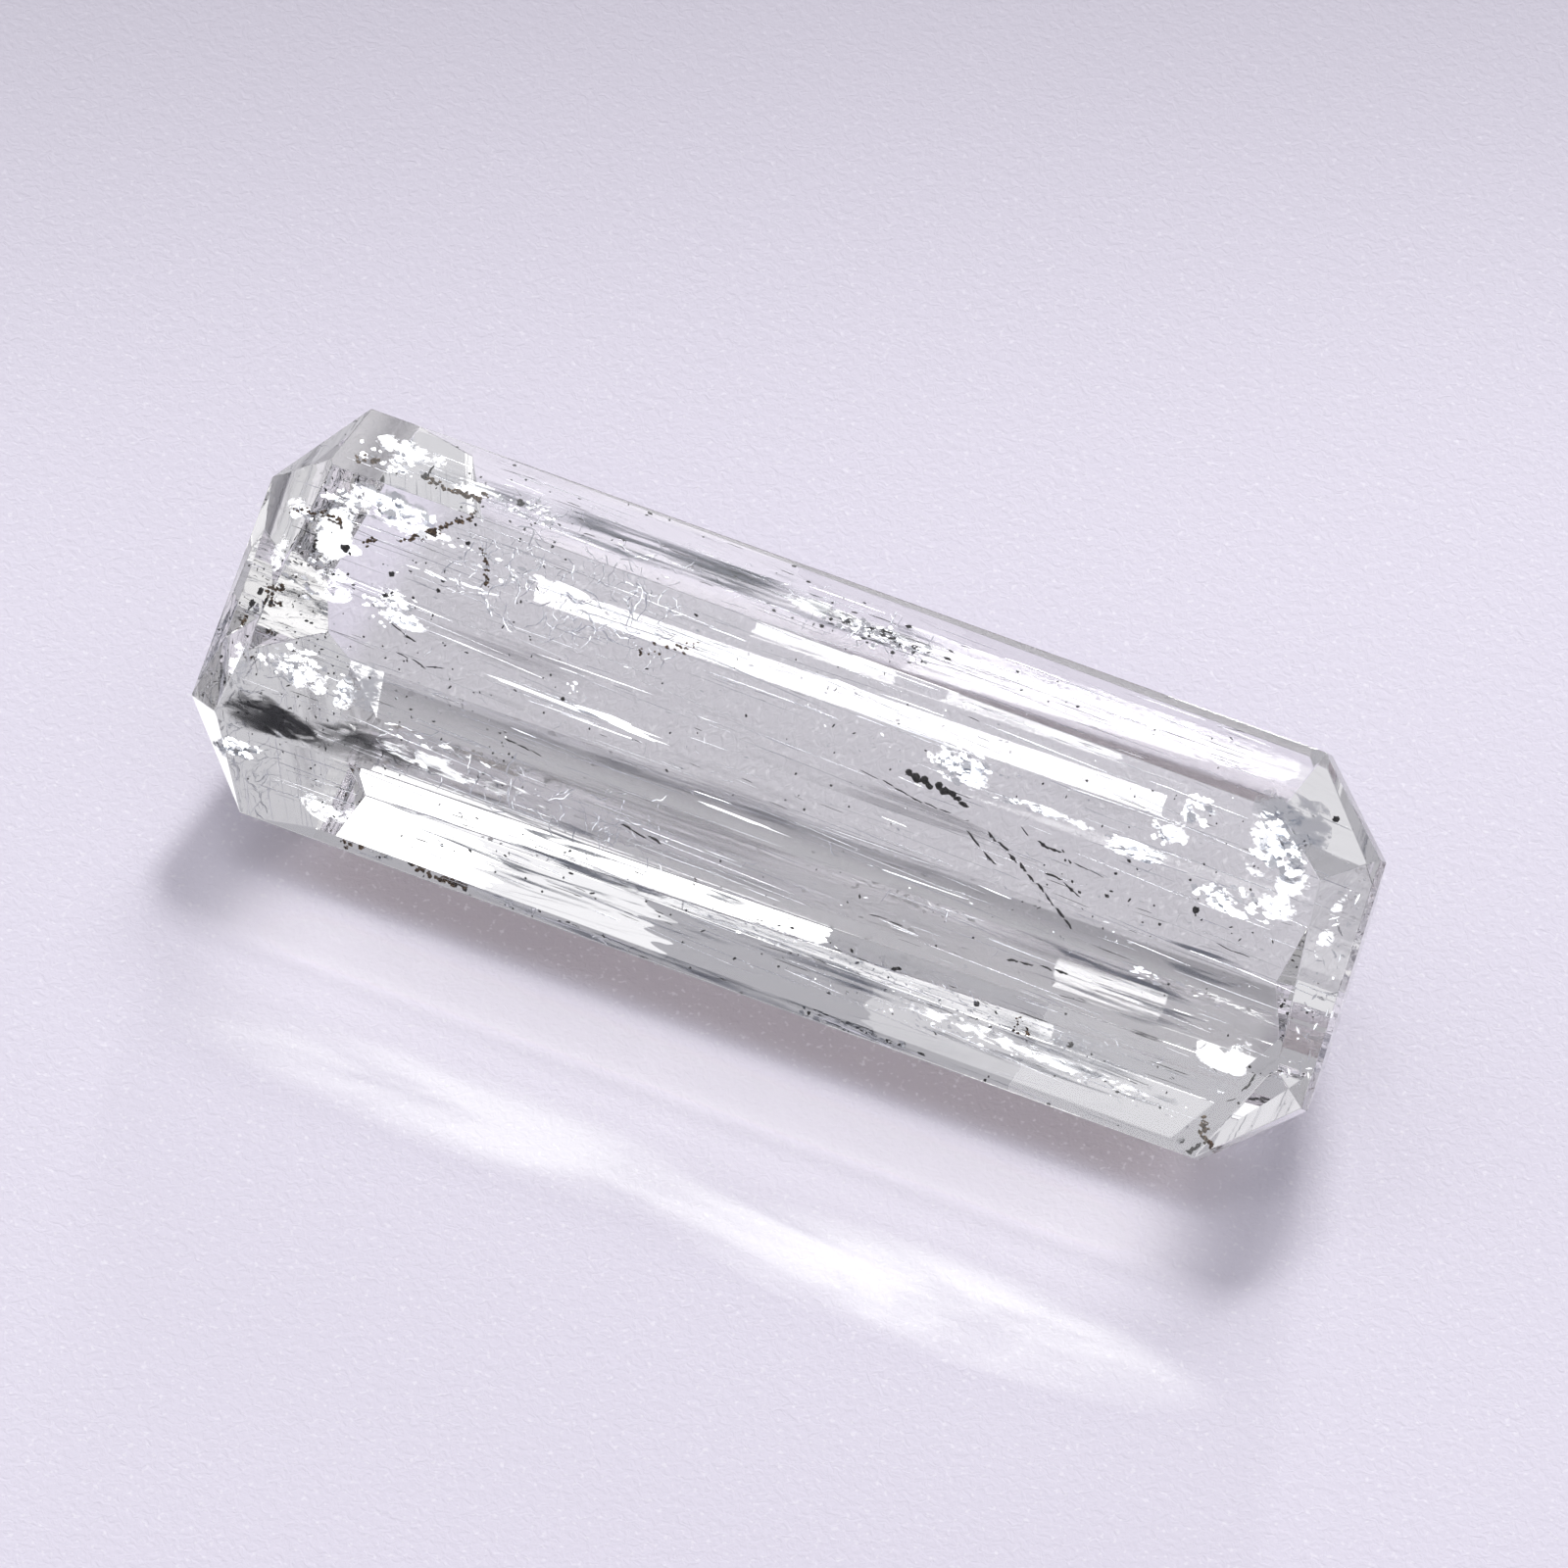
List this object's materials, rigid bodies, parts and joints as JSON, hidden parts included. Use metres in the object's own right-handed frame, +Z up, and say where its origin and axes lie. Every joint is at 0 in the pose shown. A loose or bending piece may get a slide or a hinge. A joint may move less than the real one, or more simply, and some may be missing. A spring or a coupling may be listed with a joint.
{
  "type": "faceted scolecite gemstone",
  "caption": "Loose long octagonal step-cut gemstone, clear, with a large table, cropped corners and a keeled pavilion, lying on one pavilion facet.",
  "frame": {"origin": "on the surface the stone lies on, under the middle of its box", "axes": "+X along the stone, +Z up, -Y the side that the tilted table faces"},
  "size_m": [0.0202, 0.0064, 0.0055],
  "materials": {
    "crystal": "polished, colourless and transparent, with refractive index about 1.515"
  },
  "bodies": {
    "root": {"cut_stone": "crystal"}
  },
  "joints": []
}
